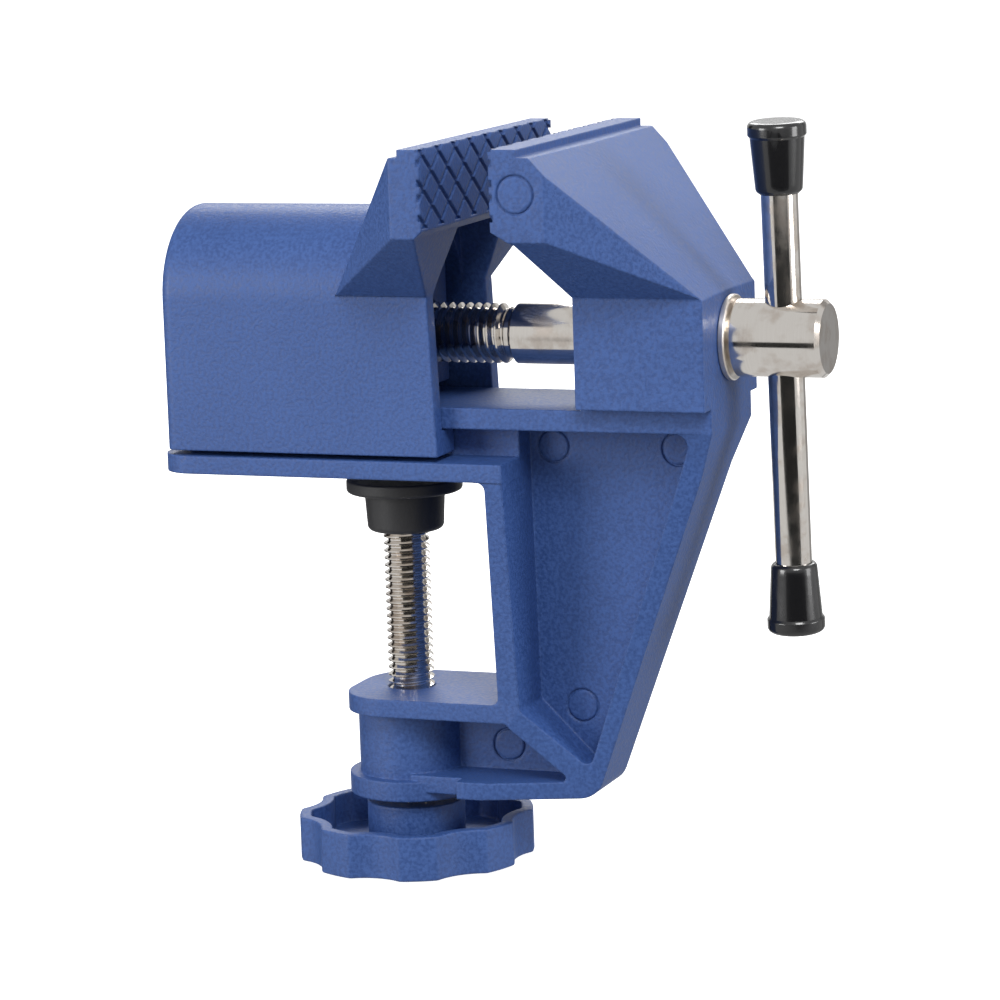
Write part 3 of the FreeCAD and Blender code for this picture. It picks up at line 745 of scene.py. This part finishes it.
@dataclass(frozen=True)
class Flag:
    """A dark card that only polished metal sees."""

    name: str
    where: Colour
    size: tuple[float, float]
    glow: float = 0.0

    def place(self, target: Vector) -> None:
        """Stand the card so that it faces the target."""
        mesh = bmesh.new()
        bmesh.ops.create_grid(mesh, x_segments=1, y_segments=1, size=0.5)
        bmesh.ops.scale(mesh, vec=(self.size[0], self.size[1], 1.0), verts=mesh.verts)
        towards = (target - Vector(self.where)).to_track_quat("Z", "Y").to_matrix().to_4x4()
        bmesh.ops.transform(mesh, verts=mesh.verts,
                            matrix=Matrix.Translation(self.where) @ towards)
        shade = (self.glow,) * 3
        card = stage_object(mesh, self.name, Graph(self.name).surface({
            "Base Color": (0.01, 0.01, 0.01), "Roughness": 0.9,
            "Emission Color": shade, "Emission Strength": 1.0}))
        card.visible_camera = False
        card.visible_diffuse = False
        card.visible_shadow = False
        card.visible_transmission = False


def stage_object(mesh: bmesh.types.BMesh, name: str,
                 finish: bpy.types.Material) -> bpy.types.Object:
    """Make a mesh part of the stage and return it."""
    data = bpy.data.meshes.new(name)
    mesh.to_mesh(data)
    mesh.free()
    data.materials.append(finish)
    made = bpy.data.objects.new(name, data)
    bpy.context.scene.collection.objects.link(made)
    made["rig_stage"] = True
    return made


@dataclass
class Studio:
    """Floor, sky, lights and camera."""

    target: Vector = field(default_factory=lambda: Vector((0.018, 0.0, -0.004)))
    eye: Colour = (0.2568, -0.6124, 0.1083)
    right: Colour = (0.93277, 0.35897, -0.03272)
    forward: Colour = (-0.35911, 0.91759, -0.17049)
    lens: float = 144.17
    sensor: float = 36.0
    floor_gap: float = 0.2 * MM
    floor_half: float = 6.0
    sky: float = 0.34
    mirrored_sky: float = 0.68

    def build(self, low: Vector) -> None:
        """Build the stage round the object.

        Args:
            low: the object's lowest corner.
        """
        self._sky()
        self._floor(low.z - self.floor_gap)
        self._lights()
        self._camera()

    def _sky(self) -> None:
        """Even white surroundings."""
        world = bpy.data.worlds.new("studio")
        world.use_nodes = True
        tree = world.node_tree
        shade = tree.nodes["Background"]
        shade.inputs["Color"].default_value = (1.0, 1.0, 1.0, 1.0)
        ray = tree.nodes.new("ShaderNodeLightPath")
        level = tree.nodes.new("ShaderNodeMapRange")
        level.inputs["To Min"].default_value = self.sky
        level.inputs["To Max"].default_value = self.mirrored_sky
        tree.links.new(ray.outputs["Is Glossy Ray"], level.inputs["Value"])
        tree.links.new(level.outputs["Result"], shade.inputs["Strength"])
        bpy.context.scene.world = world

    def _floor(self, height: float) -> None:
        """A wide pale floor."""
        mesh = bmesh.new()
        bmesh.ops.create_grid(mesh, x_segments=1, y_segments=1, size=self.floor_half)
        bmesh.ops.translate(mesh, vec=(0, 0, height), verts=mesh.verts)
        graph = Graph("floor_white")
        cloud = graph.noise(graph.place(), 160.0)
        floor = stage_object(mesh, "floor", graph.surface({
            "Base Color": graph.mix(cloud, (0.90, 0.90, 0.90), (0.93, 0.93, 0.93)),
            "Roughness": 0.9, "Specular IOR Level": 0.1,
            "Emission Color": (1.0, 1.0, 1.0), "Emission Strength": 0.9}))
        floor.visible_glossy = False
        floor.visible_diffuse = False

    def _lights(self) -> None:
        """Soft boxes, and dark cards for the metal to mirror."""
        for light in (
                SoftBox("key", (0.50, -0.80, 0.90), (0.5, 0.5), 10.0),
                SoftBox("left", (-0.70, -0.80, 0.20), (0.45, 0.6), 6.5),
                SoftBox("right", (0.95, 0.00, 0.15), (0.35, 0.6), 4.0),
                SoftBox("back", (-0.10, 0.85, 0.60), (0.9, 0.4), 6.0)):
            light.place(self.target)
        for card in (
                Flag("card_front", (0.149, -0.268, -0.065), (0.56, 0.10)),
                Flag("card_left", (-0.60, 0.25, 0.0), (0.35, 0.9)),
                Flag("card_right", (0.32, 0.54, 0.0), (0.30, 0.9), 0.3)):
            card.place(self.target)

    def _camera(self) -> None:
        """The camera, from three quarters to the right and a little above."""
        data = bpy.data.cameras.new("camera")
        data.lens = self.lens
        data.sensor_width = self.sensor
        data.clip_start, data.clip_end = 0.01, 50.0
        camera = bpy.data.objects.new("camera", data)
        bpy.context.scene.collection.objects.link(camera)
        right, forward = Vector(self.right).normalized(), Vector(self.forward).normalized()
        up = right.cross(forward).normalized()
        turn = Matrix((right, up, -forward)).transposed().to_4x4()
        camera.matrix_world = Matrix.Translation(self.eye) @ turn
        bpy.context.scene.camera = camera


def main() -> None:
    """Build the object's looks and its stage."""
    logging.basicConfig(level=logging.INFO, format="%(name)s %(message)s")
    cad_low, cad_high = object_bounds()
    paint = BluePaint().make()
    Castings(paint).build()
    Drive(Steel("nickel_turned", Lay.ROUND_X).make(),
          Steel("zinc_plate", Lay.ROUND_X, roughness=0.28).make()).build()
    Handle(Steel("nickel_drawn", Lay.ALONG_Z).make(),
           Moulding("cap_black", (0.006, 0.006, 0.007), 0.2, 0.9, 0.012, 0.6).make()).build()
    TableClamp(Steel("nickel_rolled", Lay.ROUND_Z).make(),
               Steel("zinc_bright", Lay.ROUND_Z, roughness=0.28).make(),
               Moulding("pad_black", (0.018, 0.018, 0.020), 0.5, 0.4, 0.03).make(),
               paint).build()
    Studio().build(cad_low)
    bpy.context.scene.view_settings.view_transform = "Standard"


if __name__ == "__main__":
    main()
